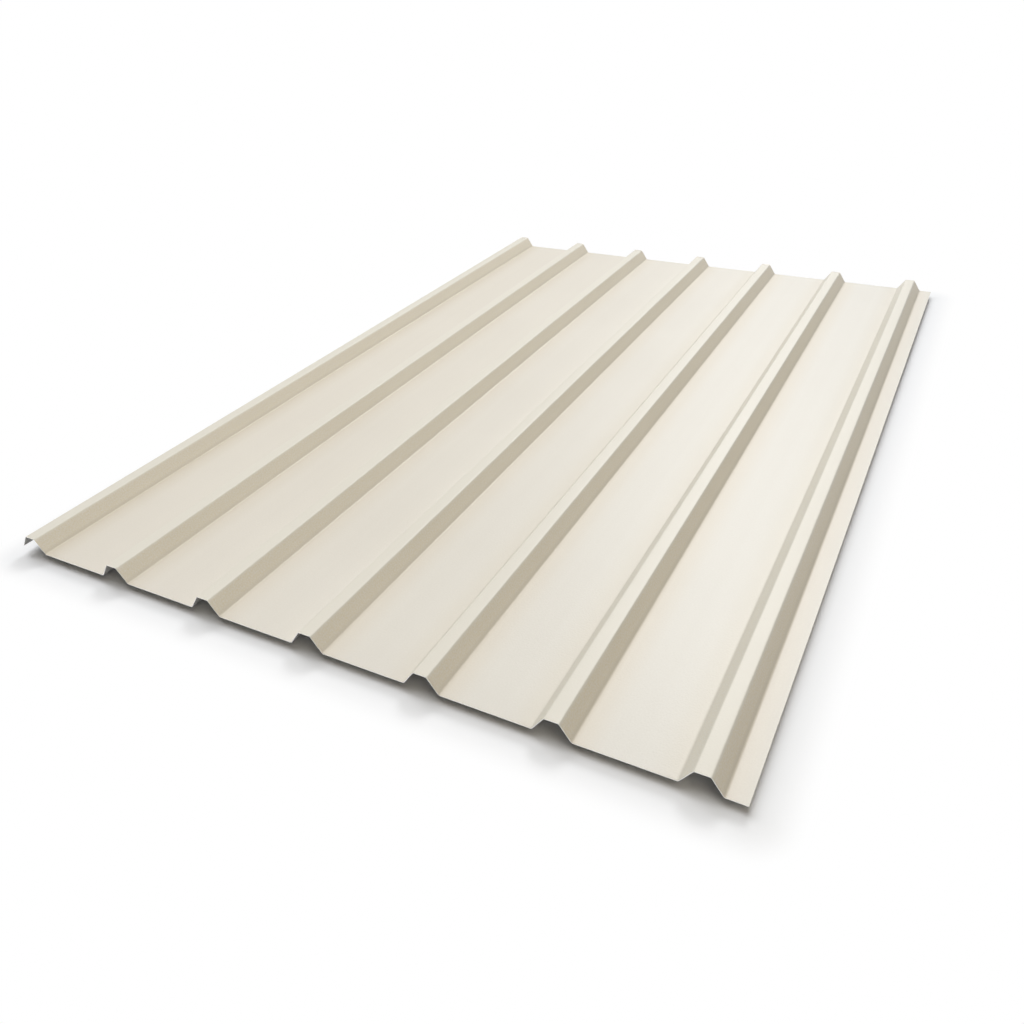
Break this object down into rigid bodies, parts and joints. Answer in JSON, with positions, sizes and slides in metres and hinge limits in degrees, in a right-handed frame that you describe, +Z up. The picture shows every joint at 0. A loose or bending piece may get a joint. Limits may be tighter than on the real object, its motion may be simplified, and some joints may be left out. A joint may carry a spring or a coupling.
{
  "type": "profiled metal roofing sheet",
  "caption": "Flat-lying cream coated steel sheet, cold-rolled into trapezoidal ribs with flat pans between, a lapping lip on one side and a flange on the other.",
  "frame": {"origin": "centre of the sheet's outline, on the floor under its pans", "axes": "+X across the ribs from the lapping lip to the flange, +Y along the ribs, +Z up"},
  "size_m": [1.0712, 1.6, 0.0227],
  "materials": {
    "coated_steel": "satin cream coil coating, fine grained, over zinc coated steel"
  },
  "bodies": {
    "root": {"profiled_sheet": "coated_steel"}
  },
  "joints": []
}
